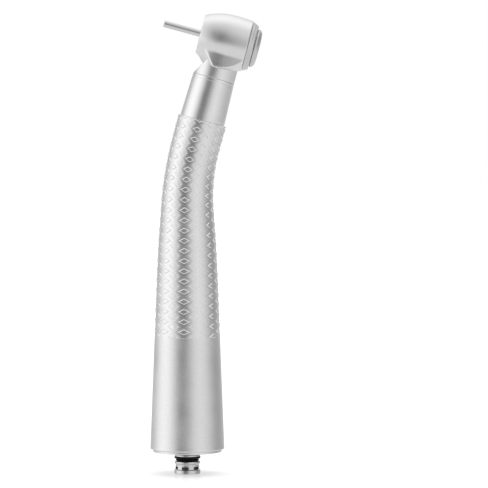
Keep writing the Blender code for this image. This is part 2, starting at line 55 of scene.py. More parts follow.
# Grip sleeve.
GRIP_TOP = 83.0
GRIP_TOP_R = 5.72
SLEEVE_LOW = 5.85
KNURL_LOW = 32.2
KNURL_HIGH = 82.85
SLEEVE_OUTLINE = [  # (L, radius) up the outer side
    (5.85, 8.65), (32.2, 7.64), (48.9, 6.99), (54.7, 6.69), (59.0, 6.37), (64.6, 6.01), (68.8, 5.8),
    (71.6, 5.72), (83.0, 5.72),
]
LOZENGE_COLUMNS = 18
LOZENGE_PITCH = 2.35
LOZENGE_FIRST = 33.65
LOZENGE_ANGLE = math.radians(-95.0)
CELLS = 12  # mesh cells from a lozenge's middle to the next column's
PAD_EDGE = 5 / CELLS  # where a lozenge's flat top ends, as a share of the column spacing
PAD_FOOT = 7 / CELLS  # where its slope reaches the floor
PAD_RISE = 0.05
FLOOR_DROP = 0.08
BAND_CROWN = 0.02
KNURL_FADE = 0.12
RING_SEAT_R = 7.78
SOCKET_R = 7.2
LOCK_GROOVE_R = 7.5

# Neck and head.
NECK_TOP = 93.15
NECK_R = 4.93
NECK_LOW_R = 5.27
NECK_BORE_R = 3.9
NECK_TAIL = 70.0
NECK_TAIL_R = 4.86
NECK_LINE_L = 92.45
FACE_A = -5.62
BOSS_A = -5.78
BOSS_R = 1.9
NOSE_HOLE_R = 1.75
HEAD_R = 6.2
NOSE_ARC = 15.0
REAR_ARC = 50.0
NOSE_START_A = 1.2
BODY_REAR_A = 5.66
CREASE_DOWN = 3.1
BALL_R = 7.85
BALL_DOWN = 0.1
BALL_WIDE = 1.2
CHIN_R = 4.15
CHIN_SLOPE = 1.05
CHIN_NARROW = 0.83
SCOOP_TOP = (-3.14, 6.3)
SCOOP_LOW = (-4.93, 9.15)
STEM_TOP_DOWN = 5.1
SPIGOT_R = 3.8
SPIGOT_L = 90.1
BLEND = 0.14  # width of the blends between the head's surfaces
SIDE_BLEND = 0.4  # from the barrel into the sides
CHIN_BLEND = 0.25
REAR_CHAMFER = 0.17
CAP_SEAT_R = 5.0
CHAMBER_R = 4.65
BEARING_SEAT_R = 3.35
BUR_R = 0.8
BUR_A = (-14.5, 3.4)
LIGHT_R = 0.75
LIGHT_STUB_X = -1.1
LIGHT_NECK_X = -2.4
LIGHT_TURN = math.radians(58.0)
LIGHT_TURN_R = 3.0
LIGHT_TURN_L = 92.3
SPRAY_Y = 2.3
SPRAY_DOWN = 2.77
SPRAY_R = 0.36

# Coupling stub.
WINDOWS = 6
WINDOW_FIRST = math.radians(-100.0)
WINDOW_SIZE = (0.8, 0.3, 0.12)
WINDOW_Z = 1.45

# Sides of the turned pieces.
FINE = 160
SMALL = 96


# Places ------------------------------------------------------------------------------------------

def centre_frame(length):
    """The frame on the bent centreline at this length: local X leans with the bend, Z runs along it."""
    turn = min(max((length - BEND_START) / BEND_RADIUS, 0.0), BEND_ANGLE)
    x = BEND_RADIUS * (1.0 - math.cos(turn))
    z = min(length, BEND_START) + BEND_RADIUS * math.sin(turn)
    past = max(length - BEND_END, 0.0)
    x += past * math.sin(turn)
    z += past * math.cos(turn)
    return Matrix.Translation((x, 0.0, z)) @ Matrix.Rotation(turn, 4, "Y")


HEAD = centre_frame(HEAD_L)
HEAD_AXIS = HEAD @ Matrix.Rotation(math.pi / 2, 4, "Y")
NECK = HEAD @ Matrix.Translation((0.0, 0.0, -HEAD_L))


def bent(points):
    """Upright points, in millimetres, moved onto the bent centreline."""
    x, y, z = points[..., 0], points[..., 1], points[..., 2]
    turn = np.clip((z - BEND_START) / BEND_RADIUS, 0.0, BEND_ANGLE)
    past = np.maximum(z - BEND_END, 0.0)
    reach = BEND_RADIUS * (1.0 - np.cos(turn)) + past * np.sin(turn)
    rise = np.minimum(z, BEND_START) + BEND_RADIUS * np.sin(turn) + past * np.cos(turn)
    return np.stack([reach + x * np.cos(turn), y, rise - x * np.sin(turn)], axis=-1)


def placed(points, matrix):
    """Points, in millimetres, moved by a matrix."""
    turn = np.array(matrix.to_3x3())
    return points @ turn.T + np.array(matrix.translation)


# Outlines ----------------------------------------------------------------------------------------

def rounded(corners, closed=False, steps=5):
    """An outline through (radius, height, fillet) corners, each rounded over its fillet's length."""
    made = []
    count = len(corners)
    for i, (r, z, fillet) in enumerate(corners):
        here = np.array((r, z))
        if not fillet or (not closed and i in (0, count - 1)):
            made.append((r, z))
            continue
        before = np.array(corners[i - 1][:2]) - here
        after = np.array(corners[(i + 1) % count][:2]) - here
        start = here + before / np.linalg.norm(before) * min(fillet, np.linalg.norm(before) * 0.48)
        end = here + after / np.linalg.norm(after) * min(fillet, np.linalg.norm(after) * 0.48)
        for step in range(steps + 1):
            t = step / steps
            made.append(tuple((1 - t) ** 2 * start + 2 * t * (1 - t) * here + t * t * end))
    return made


def divided(outline, spacing, closed=False):
    """An outline with its long runs split, so that it can follow the bend and shade evenly."""
    made = []
    count = len(outline)
    for i in range(count if closed else count - 1):
        (r0, z0), (r1, z1) = outline[i], outline[(i + 1) % count]
        pieces = max(1, math.ceil(math.hypot(r1 - r0, z1 - z0) / spacing))
        made += [(r0 + (r1 - r0) * k / pieces, z0 + (z1 - z0) * k / pieces) for k in range(pieces)]
    return made if closed else made + [outline[-1]]


def around(sides, start=0.0):
    return start + np.arange(sides) * math.tau / sides


def spun(outline, angles):
    """Rings of points: the outline turned about Z."""
    outline = np.array(outline)
    r, z = outline[:, :1], outline[:, 1:]
    return np.stack([r * np.cos(angles), r * np.sin(angles), z + 0.0 * angles], axis=-1)


def smoother(t):
    t = np.clip(t, 0.0, 1.0)
    return t * t * (3.0 - 2.0 * t)


def smooth_least(first, second, width):
    near = np.maximum(width - np.abs(first - second), 0.0) / width
    return np.minimum(first, second) - near * near * width / 4


def smooth_most(first, second, width):
    return -smooth_least(-first, -second, width)


def eased(knots, at):
    """A smooth curve through (position, value) knots, by cubic pieces with shared slopes."""
    x, y = np.array(knots, float).T
    slope = np.gradient(y, x)
    i = np.clip(np.searchsorted(x, at) - 1, 0, len(x) - 2)
    width = x[i + 1] - x[i]
    t = (at - x[i]) / width
    return ((2 * t**3 - 3 * t**2 + 1) * y[i] + (t**3 - 2 * t**2 + t) * width * slope[i]
            + (3 * t**2 - 2 * t**3) * y[i + 1] + (t**3 - t**2) * width * slope[i + 1])


# Meshes ------------------------------------------------------------------------------------------

def skin(name, rings, loop=False, heights=None):
    """A closed mesh over rings of points. loop joins the last ring to the first, and a ring of no size
    becomes a point. With heights, each face is split along the diagonal that follows the relief."""
    count, sides = rings.shape[:2]
    index = np.arange(count * sides).reshape(count, sides)
    rows = count if loop else count - 1
    low, high = index[:rows], np.roll(index, -1, axis=0)[:rows]
    corners = [low, np.roll(low, -1, 1), np.roll(high, -1, 1), high]
    quads = np.stack([c.reshape(-1) for c in corners], axis=-1)
    if heights is None:
        faces = quads.tolist()
    else:
        level = heights.reshape(-1)[quads]
        even = np.abs(level[:, 0] - level[:, 2]) <= np.abs(level[:, 1] - level[:, 3])
        faces = quads[even][:, [0, 1, 2]].tolist() + quads[even][:, [0, 2, 3]].tolist()
        faces += quads[~even][:, [0, 1, 3]].tolist() + quads[~even][:, [1, 2, 3]].tolist()
    mesh = bpy.data.meshes.new(name)
    mesh.from_pydata((rings.reshape(-1, 3) * MM).tolist(), [], faces)
    cage = bmesh.new()
    cage.from_mesh(mesh)
    bmesh.ops.remove_doubles(cage, verts=cage.verts, dist=1e-8)
    bmesh.ops.recalc_face_normals(cage, faces=cage.faces)
    cage.to_mesh(mesh)
    cage.free()
    piece = bpy.data.objects.new(name, mesh)
    bpy.context.scene.collection.objects.link(piece)
    return piece


def turned(name, outline, place=None, sides=SMALL, loop=False):
    """A turned piece about Z, moved by place. An open outline starts and ends on the axis."""
    rings = spun(outline, around(sides))
    return skin(name, placed(rings, place) if place else rings, loop)


def shade(piece, angle=32.0):
    piece.data.shade_smooth()
    piece.data.set_sharp_from_angle(angle=math.radians(angle))


def combine(target, tool, operation):
    """Joins or cuts target with tool, which is removed."""
    modifier = target.modifiers.new("combine", "BOOLEAN")
    modifier.operation = operation
    modifier.solver = "EXACT"
    modifier.object = tool
    bpy.context.view_layer.update()
    seen = target.evaluated_get(bpy.context.evaluated_depsgraph_get())
    mesh = bpy.data.meshes.new_from_object(seen)
    target.modifiers.clear()
    target.data = mesh
    bpy.data.objects.remove(tool, do_unlink=True)


def tidy_mesh(piece):
    """Drops the slivers a Boolean leaves and makes its many-sided faces triangles."""
    cage = bmesh.new()
    cage.from_mesh(piece.data)
    bmesh.ops.remove_doubles(cage, verts=cage.verts, dist=2e-6)
    bmesh.ops.dissolve_degenerate(cage, edges=cage.edges, dist=1e-6)
    many = [face for face in cage.faces if len(face.verts) > 4]
    bmesh.ops.triangulate(cage, faces=many)
    cage.to_mesh(piece.data)
    cage.free()


# Finishes ----------------------------------------------------------------------------------------

def node(tree, kind, **settings):
    made = tree.nodes.new(kind)
    for key, value in settings.items():
        setattr(made, key, value)
    return made


def noise(tree, where, scale, detail=3.0, rough=0.55):
    made = node(tree, "ShaderNodeTexNoise")
    made.inputs["Scale"].default_value = scale
    made.inputs["Detail"].default_value = detail
    made.inputs["Roughness"].default_value = rough
    tree.links.new(where, made.inputs["Vector"])
    return made.outputs["Fac"]


def turned_lines(tree, where, axis, scale):
    """Uneven fine rings about an axis, as a cutting tool leaves them."""
    along = node(tree, "ShaderNodeVectorMath", operation="DOT_PRODUCT")
    tree.links.new(where, along.inputs[0])
    along.inputs[1].default_value = axis
    made = node(tree, "ShaderNodeTexNoise", noise_dimensions="1D")
    made.inputs["Scale"].default_value = scale
    made.inputs["Detail"].default_value = 4.0
    tree.links.new(along.outputs["Value"], made.inputs["W"])
    return made.outputs["Fac"]


def spread(tree, value, low, high, start=0.3, end=0.7):
    made = node(tree, "ShaderNodeMapRange")
    for socket, number in (("From Min", start), ("From Max", end), ("To Min", low), ("To Max", high)):
        made.inputs[socket].default_value = number
    tree.links.new(value, made.inputs["Value"])
    return made.outputs["Result"]


def maths(tree, operation, first, second):
    made = node(tree, "ShaderNodeMath", operation=operation)
    for socket, value in zip(made.inputs, (first, second)):
        if isinstance(value, float):
            socket.default_value = value
        else:
            tree.links.new(value, socket)
    return made.outputs["Value"]


def between(tree, first, second, share):
    """A value that goes from first to second as share goes from 0 to 1."""
    made = node(tree, "ShaderNodeMix", data_type="FLOAT")
    tree.links.new(share, made.inputs["Factor"])
    tree.links.new(first, made.inputs["A"])
    if isinstance(second, float):
        made.inputs["B"].default_value = second
    else:
        tree.links.new(second, made.inputs["B"])
    return made.outputs["Result"]


def finish(name, colour, roughness, metallic=1.0, grain=9.0, depth=0.004, cloud=0.18, tone=0.04,
           uneven=0.05, lines=None, wear=0.0, blasted=None, **shader_values):
    """A finish with a fine grain, broad changes of tone and polish, and where asked, turned lines about
    an axis, edges that handling has polished, and a coarser, blasted look below a height. Scales are per
    millimetre, heights and depth in millimetres."""
    made = bpy.data.materials.new(name)
    made.use_nodes = True
    tree = made.node_tree
    shader = tree.nodes["Principled BSDF"]
    shader.inputs["Metallic"].default_value = metallic
    for socket, value in shader_values.items():
        shader.inputs[socket.replace("_", " ")].default_value = value
    place = node(tree, "ShaderNodeTexCoord")
    scale = node(tree, "ShaderNodeMapping")
    scale.inputs["Scale"].default_value = (1 / MM, 1 / MM, 1 / MM)
    tree.links.new(place.outputs["Object"], scale.inputs["Vector"])
    where = scale.outputs["Vector"]

    broad = noise(tree, where, cloud, 4.0)
    fine = noise(tree, where, grain, 3.0, 0.7)
    shine = maths(tree, "ADD", spread(tree, broad, roughness - uneven, roughness + uneven),
                  spread(tree, fine, -uneven / 2, uneven / 2))
    level = spread(tree, broad, 1.0 - tone, 1.0 + tone)
    height = fine
    if lines:
        axis, pitch, share = lines
        rings = turned_lines(tree, where, axis, pitch)
        height = maths(tree, "ADD", maths(tree, "MULTIPLY", fine, 1.0 - share),
                       maths(tree, "MULTIPLY", rings, share))
        shine = maths(tree, "ADD", shine, spread(tree, rings, -uneven, uneven))
    if blasted:
        split = node(tree, "ShaderNodeSeparateXYZ")
        tree.links.new(where, split.inputs["Vector"])
        below = spread(tree, split.outputs["Z"], 1.0, 0.0, blasted - 0.3, blasted + 0.3)
        speckle = spread(tree, noise(tree, where, 3.2, 2.0, 0.7), -1.0, 1.0)
        shine = maths(tree, "ADD", shine, maths(tree, "MULTIPLY", below, 0.07))
        speckle = maths(tree, "MULTIPLY", below, speckle)
        level = maths(tree, "ADD", level, maths(tree, "MULTIPLY", speckle, 0.05))
        height = maths(tree, "ADD", height, speckle)
    if wear:
        shape = node(tree, "ShaderNodeNewGeometry")
        edge = spread(tree, shape.outputs["Pointiness"], 0.0, 1.0, 0.505, 0.56)
        edge = maths(tree, "MULTIPLY", edge, spread(tree, broad, 0.4, 1.0))
        level = maths(tree, "ADD", level, maths(tree, "MULTIPLY", edge, wear))
        shine = maths(tree, "SUBTRACT", shine, maths(tree, "MULTIPLY", edge, wear * 0.6))
    tint = node(tree, "ShaderNodeVectorMath", operation="SCALE")
    tint.inputs[0].default_value = colour
    tree.links.new(level, tint.inputs["Scale"])
    tree.links.new(tint.outputs["Vector"], shader.inputs["Base Color"])
    tree.links.new(shine, shader.inputs["Roughness"])
    bump = node(tree, "ShaderNodeBump")
    bump.inputs["Strength"].default_value = 1.0
    bump.inputs["Distance"].default_value = depth * MM
    tree.links.new(height, bump.inputs["Height"])
    tree.links.new(bump.outputs["Normal"], shader.inputs["Normal"])
    return made


HEAD_DIRECTION = tuple(HEAD_AXIS.to_3x3() @ Vector((0.0, 0.0, 1.0)))
NECK_DIRECTION = tuple(HEAD.to_3x3() @ Vector((0.0, 0.0, 1.0)))
UP = (0.0, 0.0, 1.0)

LOOKS = {
    "satin_grip": finish("satin_grip", (0.80, 0.80, 0.80), 0.28, grain=8.0, depth=0.004, wear=0.10,
                         blasted=KNURL_LOW),
    "satin_neck": finish("satin_neck", (0.80, 0.80, 0.80), 0.26, grain=9.0, depth=0.003, uneven=0.03,
                         lines=(NECK_DIRECTION, 9.0, 0.1)),
    "satin_head": finish("satin_head", (0.79, 0.79, 0.79), 0.29, grain=8.0, depth=0.005, wear=0.08),
    "satin_cap": finish("satin_cap", (0.63, 0.63, 0.63), 0.25, grain=8.0, depth=0.004,
                        lines=(HEAD_DIRECTION, 7.0, 0.5), wear=0.08),
    "satin_ring": finish("satin_ring", (0.79, 0.79, 0.79), 0.28, grain=8.0, depth=0.004,
                         lines=(UP, 8.0, 0.5), wear=0.08),
    "chrome": finish("chrome", (0.60, 0.60, 0.61), 0.07, grain=5.0, depth=0.001, tone=0.03, uneven=0.03,
                     lines=(UP, 9.0, 0.6), wear=0.05),
    # bore: a near-black finish for the faces inside the coupling stub's shallow windows and ports. It is
    # painted shade, standing in for the dark of open passages.
    "bore": finish("bore", (0.09, 0.09, 0.09), 0.5, grain=6.0, depth=0.004, lines=(UP, 6.0, 0.5)),
    "brass": finish("brass", (0.72, 0.62, 0.38), 0.30, grain=6.0, depth=0.004, lines=(UP, 6.0, 0.6)),
    "rubber": finish("rubber", (0.004, 0.004, 0.004), 0.35, 0.0, grain=6.0, depth=0.006, tone=0.25,
                     uneven=0.08, Specular_IOR_Level=0.15),
    "glass": finish("glass", (0.86, 0.92, 0.95), 0.12, 0.0, grain=4.0, depth=0.001, tone=0.03,
                    uneven=0.03, Coat_Weight=1.0, Coat_Roughness=0.04, IOR=1.52),
    "polymer": finish("polymer", (0.45, 0.28, 0.12), 0.5, 0.0, grain=5.0, depth=0.005, tone=0.12),
    "ground_steel": finish("ground_steel", (0.66, 0.66, 0.67), 0.1, grain=7.0, depth=0.0015, tone=0.03,
                           uneven=0.04, lines=(HEAD_DIRECTION, 8.0, 0.6)),
    "dull_steel": finish("dull_steel", (0.62, 0.62, 0.62), 0.34, grain=7.0, depth=0.004),
}


def dress(piece, look, body, slot, *nodes):
    """Gives a piece its finish and the body it rides on, and hides the CAD nodes it stands for. The slot is
    not used.
    """
    piece.data.materials.clear()
    piece.data.materials.append(LOOKS[look])
    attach(piece, body)
    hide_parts(*nodes)
    return piece


# Grip sleeve -------------------------------------------------------------------------------------

def relief(angle, length):
    """Height of the grip's surface over its plain form: raised lozenges in staggered columns, with
    crossing bands between them."""
    column = (angle - LOZENGE_ANGLE) / (math.tau / LOZENGE_COLUMNS)
    row = (length - LOZENGE_FIRST) / LOZENGE_PITCH
    away = np.full(np.broadcast(column, row).shape, 2.0)
    base = np.floor(column + 1e-6)
    for middle in (base, base + 1):
        shifted = row - np.where(middle % 2 == 0, 0.0, 0.5)
        away = np.minimum(away, np.abs(column - middle) + 2 * np.abs(shifted - np.round(shifted)))
    slope = np.clip((away - PAD_EDGE) / (PAD_FOOT - PAD_EDGE), 0.0, 1.0)
    crown = np.clip((away - PAD_FOOT) / (1.0 - PAD_FOOT), 0.0, 1.0) * BAND_CROWN
    height = PAD_RISE - (PAD_RISE + FLOOR_DROP) * slope + crown
    inside = smoother((length - KNURL_LOW) / KNURL_FADE) * smoother((KNURL_HIGH - length) / KNURL_FADE)
    return height * inside


def grip_sleeve():
    angles = around(LOZENGE_COLUMNS * CELLS, LOZENGE_ANGLE)
    step = LOZENGE_PITCH / (2 * CELLS)
    first = LOZENGE_FIRST + math.ceil((KNURL_LOW - LOZENGE_FIRST) / step) * step
    knurled = np.arange(first, KNURL_HIGH, step)
    plain = np.arange(KNURL_LOW - 0.02, SLEEVE_LOW + 0.5, -0.8)
    lengths = np.concatenate([knurled[::-1], plain])
    outer = [(r, z) for r, z in zip(eased(SLEEVE_OUTLINE, lengths), lengths)]
    top = [(5.0, GRIP_TOP, 0), (GRIP_TOP_R, GRIP_TOP, 0.1), (GRIP_TOP_R, KNURL_HIGH, 0)]
    top = rounded(top, steps=8)[:-1]
    low_r = SLEEVE_OUTLINE[0][1]
    inner = [
        (low_r + 0.02, SLEEVE_LOW + 0.45, 0), (low_r, SLEEVE_LOW, 0.3),
        (RING_SEAT_R, SLEEVE_LOW, 0.1), (RING_SEAT_R, 7.8, 0), (SOCKET_R, 7.8, 0), (SOCKET_R, 11.4, 0),
        (LOCK_GROOVE_R, 11.4, 0), (LOCK_GROOVE_R, 12.9, 0), (SOCKET_R, 12.9, 0), (SOCKET_R, 25.4, 0),
        (6.58, 25.4, 0), (6.58, 32.0, 0), (5.75, 54.7, 0), (5.1, 64.6, 0), (4.95, 69.0, 0),
        (4.95, GRIP_TOP - 0.06, 0),
    ]
    outline = top + outer + divided(rounded(inner)[1:], 2.0)
    rings = spun(outline, angles)
    heights = np.zeros(rings.shape[:2])
    start = len(top)
    knurl_rows = slice(start, start + len(outer))
    heights[knurl_rows] = relief(angles[None, :], lengths[:, None])
    radius = np.hypot(rings[..., 0], rings[..., 1])
    rings[..., :2] *= (1.0 + heights / radius)[..., None]
    piece = skin("grip_sleeve_shell", bent(rings), True, heights)
    shade(piece, 14.0)
    dress(piece, "satin_grip", "housing", "satin_steel", "handle_sleeve")


def rear_ring():
    outline = rounded([
        (7.25, 7.7, 0), (7.72, 7.7, 0.05), (7.72, 5.8, 0), (8.0, 5.8, 0), (8.05, 5.7, 0.05),
        (8.05, 5.3, 0.06), (7.95, 5.2, 0.06), (7.35, 5.2, 0.06), (7.25, 5.3, 0.06),
    ], True)
    piece = turned("rear_edge_ring", outline, None, FINE, True)
    shade(piece)
    dress(piece, "satin_ring", "housing", "satin_steel", "end_ring")


# Neck --------------------------------------------------------------------------------------------

def neck():
    line = 0.05

    def side(length):
        return NECK_LOW_R + (NECK_R - NECK_LOW_R) * (length - GRIP_TOP) / (NECK_TOP - GRIP_TOP)

    outline = rounded([
        (NECK_BORE_R, NECK_TOP, 0.05), (NECK_R, NECK_TOP, 0.07),
        (side(NECK_LINE_L + line), NECK_LINE_L + line, 0.02), (side(NECK_LINE_L) - line, NECK_LINE_L, 0.01),
        (side(NECK_LINE_L - line), NECK_LINE_L - line, 0.02), (NECK_LOW_R, GRIP_TOP + 0.05, 0.05),
        (NECK_TAIL_R, GRIP_TOP + 0.05, 0), (NECK_TAIL_R, NECK_TAIL, 0.1), (NECK_BORE_R, NECK_TAIL, 0.1),
    ], True)
    rings = spun(divided(outline, 0.9, True), around(FINE))
    piece = skin("neck_tube", bent(rings), True)
    shade(piece)
    dress(piece, "satin_neck", "housing", "satin_steel", "neck_sleeve")


# Head --------------------------------------------------------------------------------------------

def nose(a):
    """Radius of the head's turned body: a barrel, drawn in more towards its face than towards its cap."""
    radius = NOSE_ARC if a < NOSE_START_A else REAR_ARC
    return HEAD_R - radius + math.sqrt(radius**2 - (NOSE_START_A - a) ** 2)


def lobe(a, angle):
    """Radius of the part that reaches down to the neck: two sides that drop from the barrel, a widened
    ball below and a narrowed cone in front."""
    sine, cosine = np.abs(np.sin(angle)), np.cos(angle)
    half = math.sqrt(nose(a) ** 2 - CREASE_DOWN**2)
    side = np.minimum(half / np.maximum(sine, 1e-3), 30.0)
    spread_out = cosine**2 + (sine / BALL_WIDE) ** 2
    down = BALL_DOWN * cosine
    ball = (down + np.sqrt(down**2 + spread_out * (BALL_R**2 - a * a - BALL_DOWN**2))) / spread_out
    cone = (CHIN_R + CHIN_SLOPE * (a - FACE_A)) / np.sqrt((sine / CHIN_NARROW) ** 2 + cosine**2)
    made = smooth_least(smooth_least(side, ball, BLEND), cone, CHIN_BLEND)
    return np.where(cosine > 0.0, made, 0.0)


def head_body():
    """The head without its stem, about its own axis: angle 0 points down the neck."""
    below = math.radians(75.0)
    angles = np.concatenate([np.linspace(-below, below, 230, endpoint=False),
                             np.linspace(below, math.tau - below, 90, endpoint=False)])
    places = np.arange(FACE_A + 0.06, BODY_REAR_A - REAR_CHAMFER, 0.1)
    face = [(BOSS_R - 0.12, BOSS_A), (BOSS_R - 0.03, BOSS_A + 0.02), (BOSS_R, BOSS_A + 0.05),
            (BOSS_R, FACE_A - 0.03), (BOSS_R + 0.03, FACE_A)]
    edge = float(nose(FACE_A))
    face += [(r, FACE_A) for r in np.linspace(BOSS_R + 0.3, edge - 0.1, 7)]
    face += [(edge - 0.04, FACE_A + 0.01), (edge - 0.01, FACE_A + 0.03)]
    bore = [
        (CAP_SEAT_R, BODY_REAR_A), (CAP_SEAT_R, 2.15), (CHAMBER_R, 2.15), (CHAMBER_R, -2.3),
        (BEARING_SEAT_R, -2.3), (BEARING_SEAT_R, -5.12),
        (NOSE_HOLE_R, -5.12), (NOSE_HOLE_R, BOSS_A + 0.06), (NOSE_HOLE_R + 0.05, BOSS_A),
    ]
    rows = [(np.full(angles.shape, r), a) for r, a in face]
    rows += [(smooth_most(np.full(angles.shape, nose(a)), lobe(a, angles), SIDE_BLEND), a) for a in places]
    last = rows[-1][0]
    rows += [(last - 0.015, places[-1] + 0.02), (last - 0.9 * REAR_CHAMFER, BODY_REAR_A - 0.02),
             (last - REAR_CHAMFER - 0.02, BODY_REAR_A)]
    rows += [(np.full(angles.shape, r), a) for r, a in divided(bore, 2.0)]
    rings = np.array([np.stack([r * np.cos(angles), r * np.sin(angles), np.full(angles.shape, a)], axis=-1)
                      for r, a in rows])
    return skin("head_shell", placed(rings, HEAD_AXIS), True)


def head_stem():
    """The stem below the head, about the neck's axis, with its sloping scoop on the bur's side."""
    angles = around(256)
    fall = (SCOOP_LOW[0] - SCOOP_TOP[0]) / (SCOOP_LOW[1] - SCOOP_TOP[1])
    down = np.arange(STEM_TOP_DOWN, HEAD_L - NECK_TOP - 0.14, 0.1)
    lean = -np.cos(angles)
    rings = []
    for below in down:
        reach = -(SCOOP_TOP[0] + fall * (below - SCOOP_TOP[1]))
        plane = reach / np.maximum(lean, 0.05)
        rings.append((smooth_least(np.full(angles.shape, NECK_R), plane, BLEND), HEAD_L - below))
    low = HEAD_L - down[-1]
    foot = [(NECK_R - 0.005, low - 0.05), (NECK_R - 0.03, NECK_TOP + 0.05), (NECK_R - 0.08, NECK_TOP + 0.03),
            (SPIGOT_R, NECK_TOP + 0.03), (SPIGOT_R, SPIGOT_L + 0.2), (SPIGOT_R - 0.2, SPIGOT_L),
            (0.0, SPIGOT_L)]
    rows = [(0.0 * rings[0][0], rings[0][1]), *rings, *[(np.full(angles.shape, r), z) for r, z in foot]]
    made = np.array([np.stack([r * np.cos(angles), r * np.sin(angles), np.full(angles.shape, z)], axis=-1)
                     for r, z in rows])
    return skin("stem", placed(made, NECK))


def light_line(low, extra):
    """Points down the middle of the glass rod, in millimetres, up to its mouth in the scoop."""
    points = []
    for length in np.arange(low, LIGHT_TURN_L, 1.5):
        share = float(smoother((length - 36.0) / 24.0))
        x = LIGHT_STUB_X + (LIGHT_NECK_X - LIGHT_STUB_X) * share
        points.append(centre_frame(length) @ Vector((x, 0.0, 0.0)))
    for turn in np.linspace(0.0, LIGHT_TURN, 9):
        x = LIGHT_NECK_X - LIGHT_TURN_R * (1.0 - math.cos(turn))
        points.append(centre_frame(LIGHT_TURN_L + LIGHT_TURN_R * math.sin(turn)) @ Vector((x, 0.0, 0.0)))
    leave = HEAD.to_3x3() @ Vector((-math.sin(LIGHT_TURN), 0.0, math.cos(LIGHT_TURN)))
    points[-1] = points[-1] + leave * extra
    return points


def tube(name, points, radius, sides=32, dome=0.0):
    """A round rod along points in the plane y = 0, with an edge fillet at its mouth."""
    rings = []
    across = np.array((0.0, 1.0, 0.0))
    angles = around(sides)
    places = np.array([tuple(p) for p in points])
    ways = np.gradient(places, axis=0)
    ends = [(0, 0.0)] + [(i, 1.0) for i in range(len(places))]
    ends += [(len(places) - 1, share) for share in (0.9, 0.6, 0.3, 0.0)]
    for number, (i, share) in enumerate(ends):
        way = ways[i] / np.linalg.norm(ways[i])
        side = np.cross(across, way)
        lift = dome * (1.0 - share * share) if number > 1 else 0.0
        spoke = np.cos(angles)[:, None] * side + np.sin(angles)[:, None] * across
        rings.append(places[i] + way * lift + spoke * radius * share)
    return skin(name, np.array(rings))


def head_shell():
    """The head's outside and its chamber. The tubes' passages in the stem are not cut here."""
    piece = head_body()
    combine(piece, head_stem(), "UNION")
    mouth = light_line(90.0, 1.6)[-4:]
    combine(piece, tube("light_bore", mouth, LIGHT_R + 0.04, 48), "DIFFERENCE")
    for side in (1, -1):
        outlet = HEAD @ Matrix.Translation((FACE_A, side * SPRAY_Y, -SPRAY_DOWN))
        place = outlet @ Matrix.Rotation(math.pi / 2, 4, "Y")
        outline = [(0.0, 0.6), (SPRAY_R - 0.08, 0.6), (SPRAY_R - 0.08, 0.08), (SPRAY_R + 0.06, -0.06),
                   (0.0, -0.06)]
        combine(piece, turned("spray_hole", outline, place, 32), "DIFFERENCE")
    tidy_mesh(piece)
    shade(piece, 28.0)
    dress(piece, "satin_head", "housing", "satin_steel", "head_housing")


def light_rod():
    piece = tube("light_guide_rod", light_line(0.05, 0.0), LIGHT_R, 32, 0.05)
    shade(piece)
    dress(piece, "glass", "housing", "glass_rod", "light_guide")


def cap_ring():
    outline = rounded([
        (4.66, 7.08, 0.04), (4.98, 7.08, 0.1), (5.28, 6.92, 0.14), (5.4, 6.6, 0.1), (5.52, 6.36, 0.06),
        (5.58, 6.34, 0.03), (5.78, BODY_REAR_A + 0.18, 0.04), (5.64, BODY_REAR_A + 0.04, 0.04),
        (4.93, BODY_REAR_A + 0.04, 0), (4.93, 2.2, 0), (BEARING_SEAT_R, 2.2, 0), (BEARING_SEAT_R, 3.18, 0),
        (3.82, 3.18, 0), (3.82, 3.82, 0), (BEARING_SEAT_R, 3.82, 0), (BEARING_SEAT_R, 4.8, 0), (1.8, 4.8, 0),
        (1.8, 5.2, 0), (4.3, 5.2, 0), (4.3, 5.5, 0), (4.92, 5.5, 0), (4.92, 6.72, 0), (4.66, 6.72, 0),
    ], True)
    piece = turned("head_cap_ring", outline, HEAD_AXIS, FINE, True)
    shade(piece)
    dress(piece, "satin_cap", "housing", "satin_steel", "head_cap")


def button():
    outline = rounded([
        (0.0, 8.44, 0), (2.4, 8.39, 0.3), (3.85, 8.24, 0.3), (4.3, 7.8, 0.15), (4.5, 7.55, 0.1),
        (4.54, 7.28, 0.05), (4.34, 7.2, 0.04), (4.34, 6.72, 0.04), (4.6, 6.64, 0), (4.85, 6.64, 0.04),
        (4.85, 6.3, 0.04),
        (3.9, 6.3, 0), (3.9, 7.4, 0), (1.3, 7.4, 0), (1.3, 6.3, 0), (0.0, 6.3, 0),
    ])
    piece = turned("push_button_cap", divided(outline, 0.5), HEAD_AXIS, FINE)
    shade(piece)
    dress(piece, "satin_cap", "button", "satin_steel", "push_button")


def bur_shank():
    low, high = BUR_A
    outline = rounded([
        (0.0, high, 0), (0.7, high, 0.05), (BUR_R, high - 0.12, 0.05), (BUR_R, low + 0.14, 0.08),
        (0.68, low, 0.06), (0.0, low, 0),
    ])
    piece = turned("bur_shank", divided(outline, 0.8), HEAD_AXIS, 64)
    shade(piece)
    dress(piece, "ground_steel", "bur", "hardened_steel", "bur")


# Coupling stub -----------------------------------------------------------------------------------

def window_cutter(turn):
    """A slot's cutter: a rectangle with round corners, run outwards through the stub's wall."""
    half_wide, half_high, corner = WINDOW_SIZE
    outline = rounded([(-half_wide, -half_high, corner), (half_wide, -half_high, corner),
                       (half_wide, half_high, corner), (-half_wide, half_high, corner)], True)
    rings = [[(reach, y * share, WINDOW_Z + z * share) for y, z in outline]
             for reach, share in ((2.35, 0.0), (2.35, 1.0), (3.6, 1.0), (3.6, 0.0))]
    return skin("window", placed(np.array(rings), turn))


